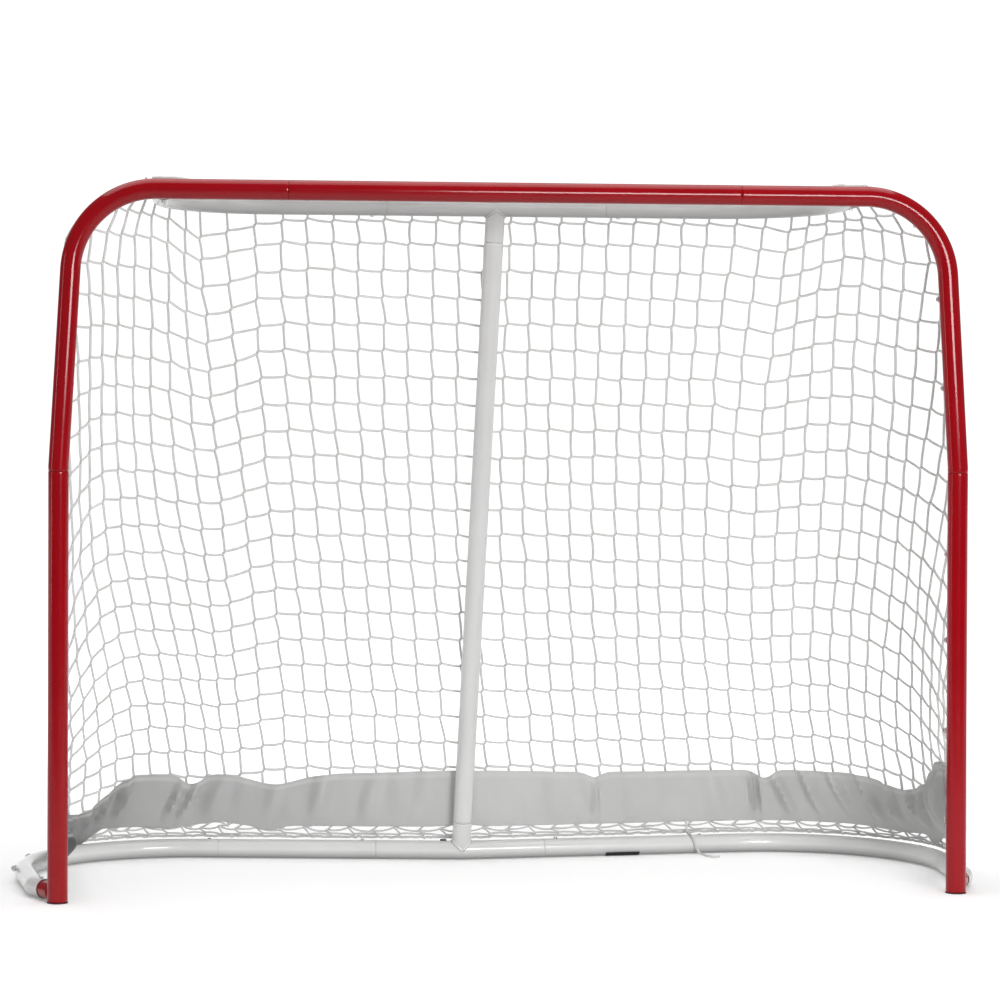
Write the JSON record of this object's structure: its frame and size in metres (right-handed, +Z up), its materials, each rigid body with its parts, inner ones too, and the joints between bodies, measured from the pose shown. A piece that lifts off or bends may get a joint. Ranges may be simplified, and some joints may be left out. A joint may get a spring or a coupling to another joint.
{
  "type": "hockey goal",
  "caption": "Knock-down tubular hockey goal: red front frame, white shelf, base and centre post, string net, sheet skirt, and snap-button slip joints.",
  "frame": {"origin": "middle of the footprint on the ground, under the box that holds the goal", "axes": "+X along the crossbar to the right as seen from the mouth, +Y from the mouth to the back of the net, +Z up"},
  "size_m": [1.7192, 0.6096, 1.232],
  "materials": {
    "red_paint": "gloss",
    "white_paint": "gloss",
    "button_steel": "polished",
    "net_twine": "matt",
    "skirt_sheet": "satin",
    "cap_plastic": "satin",
    "black_rubber": "matt"
  },
  "bodies": {
    "frame": {"left_post_lower": "red_paint", "left_foot_cap": "cap_plastic", "left_corner_tube": "red_paint", "left_base_arc": "white_paint", "left_base_straight": "white_paint", "left_shelf_arm": "white_paint", "right_post_lower": "red_paint", "right_foot_cap": "cap_plastic", "right_corner_tube": "red_paint", "right_base_arc": "white_paint", "right_base_straight": "white_paint", "right_shelf_arm": "white_paint", "crossbar_middle": "red_paint", "shelf_tee": "white_paint", "base_tee": "white_paint", "centre_post": "white_paint", "net_side_left": "net_twine", "net_side_right": "net_twine", "net_back": "net_twine", "net_top": "net_twine", "skirt": "skirt_sheet", "lacing_tail": "net_twine", "wear_strip": "black_rubber", "cable_tie": "black_rubber", "snap_spring_post_left": "button_steel", "snap_spring_foot_left": "button_steel", "snap_spring_bar_left": "button_steel", "snap_spring_shelf_arm_left": "button_steel", "snap_spring_base_left": "button_steel", "snap_spring_base_tee_left": "button_steel", "snap_spring_shelf_tee_left": "button_steel", "snap_spring_post_right": "button_steel", "snap_spring_foot_right": "button_steel", "snap_spring_bar_right": "button_steel", "snap_spring_shelf_arm_right": "button_steel", "snap_spring_base_right": "button_steel", "snap_spring_base_tee_right": "button_steel", "snap_spring_shelf_tee_right": "button_steel", "snap_spring_post_top": "button_steel", "snap_spring_post_bottom": "button_steel"},
    "button_post_left": {"snap_button_post_left": "button_steel"},
    "button_foot_left": {"snap_button_foot_left": "button_steel"},
    "button_bar_left": {"snap_button_bar_left": "button_steel"},
    "button_shelf_arm_left": {"snap_button_shelf_arm_left": "button_steel"},
    "button_base_left": {"snap_button_base_left": "button_steel"},
    "button_base_tee_left": {"snap_button_base_tee_left": "button_steel"},
    "button_shelf_tee_left": {"snap_button_shelf_tee_left": "button_steel"},
    "button_post_right": {"snap_button_post_right": "button_steel"},
    "button_foot_right": {"snap_button_foot_right": "button_steel"},
    "button_bar_right": {"snap_button_bar_right": "button_steel"},
    "button_shelf_arm_right": {"snap_button_shelf_arm_right": "button_steel"},
    "button_base_right": {"snap_button_base_right": "button_steel"},
    "button_base_tee_right": {"snap_button_base_tee_right": "button_steel"},
    "button_shelf_tee_right": {"snap_button_shelf_tee_right": "button_steel"},
    "button_post_top": {"snap_button_post_top": "button_steel"},
    "button_post_bottom": {"snap_button_post_bottom": "button_steel"}
  },
  "joints": [
    {"name": "press_post_left", "type": "slide", "parent": "frame", "child": "button_post_left", "axis": [0, -1, 0], "range_m": [0, 0.0047], "stiffness_N_per_m": 2500, "springref_m": -0.001},
    {"name": "press_foot_left", "type": "slide", "parent": "frame", "child": "button_foot_left", "axis": [0, 0, -1], "range_m": [0, 0.0047], "stiffness_N_per_m": 2500, "springref_m": -0.001},
    {"name": "press_bar_left", "type": "slide", "parent": "frame", "child": "button_bar_left", "axis": [0, -1, 0], "range_m": [0, 0.0047], "stiffness_N_per_m": 2500, "springref_m": -0.001},
    {"name": "press_shelf_arm_left", "type": "slide", "parent": "frame", "child": "button_shelf_arm_left", "axis": [0, 0, 1], "range_m": [0, 0.0047], "stiffness_N_per_m": 2500, "springref_m": -0.001},
    {"name": "press_base_left", "type": "slide", "parent": "frame", "child": "button_base_left", "axis": [-0.0582, -0.4403, -0.896], "range_m": [0, 0.0047], "stiffness_N_per_m": 2500, "springref_m": -0.001},
    {"name": "press_base_tee_left", "type": "slide", "parent": "frame", "child": "button_base_tee_left", "axis": [0, 0, -1], "range_m": [0, 0.0047], "stiffness_N_per_m": 2500, "springref_m": -0.001},
    {"name": "press_shelf_tee_left", "type": "slide", "parent": "frame", "child": "button_shelf_tee_left", "axis": [0, 0, 1], "range_m": [0, 0.0047], "stiffness_N_per_m": 2500, "springref_m": -0.001},
    {"name": "press_post_right", "type": "slide", "parent": "frame", "child": "button_post_right", "axis": [0, -1, 0], "range_m": [0, 0.0047], "stiffness_N_per_m": 2500, "springref_m": -0.001},
    {"name": "press_foot_right", "type": "slide", "parent": "frame", "child": "button_foot_right", "axis": [0, 0, -1], "range_m": [0, 0.0047], "stiffness_N_per_m": 2500, "springref_m": -0.001},
    {"name": "press_bar_right", "type": "slide", "parent": "frame", "child": "button_bar_right", "axis": [0, -1, 0], "range_m": [0, 0.0047], "stiffness_N_per_m": 2500, "springref_m": -0.001},
    {"name": "press_shelf_arm_right", "type": "slide", "parent": "frame", "child": "button_shelf_arm_right", "axis": [0, 0, 1], "range_m": [0, 0.0047], "stiffness_N_per_m": 2500, "springref_m": -0.001},
    {"name": "press_base_right", "type": "slide", "parent": "frame", "child": "button_base_right", "axis": [0.0553, -0.441, -0.8958], "range_m": [0, 0.0047], "stiffness_N_per_m": 2500, "springref_m": -0.001},
    {"name": "press_base_tee_right", "type": "slide", "parent": "frame", "child": "button_base_tee_right", "axis": [0, 0, -1], "range_m": [0, 0.0047], "stiffness_N_per_m": 2500, "springref_m": -0.001},
    {"name": "press_shelf_tee_right", "type": "slide", "parent": "frame", "child": "button_shelf_tee_right", "axis": [0, 0, 1], "range_m": [0, 0.0047], "stiffness_N_per_m": 2500, "springref_m": -0.001},
    {"name": "press_post_top", "type": "slide", "parent": "frame", "child": "button_post_top", "axis": [-0.0043, -0.9904, -0.1384], "range_m": [0, 0.0047], "stiffness_N_per_m": 2500, "springref_m": -0.001},
    {"name": "press_post_bottom", "type": "slide", "parent": "frame", "child": "button_post_bottom", "axis": [-0.0043, -0.9904, -0.1384], "range_m": [0, 0.0047], "stiffness_N_per_m": 2500, "springref_m": -0.001}
  ]
}
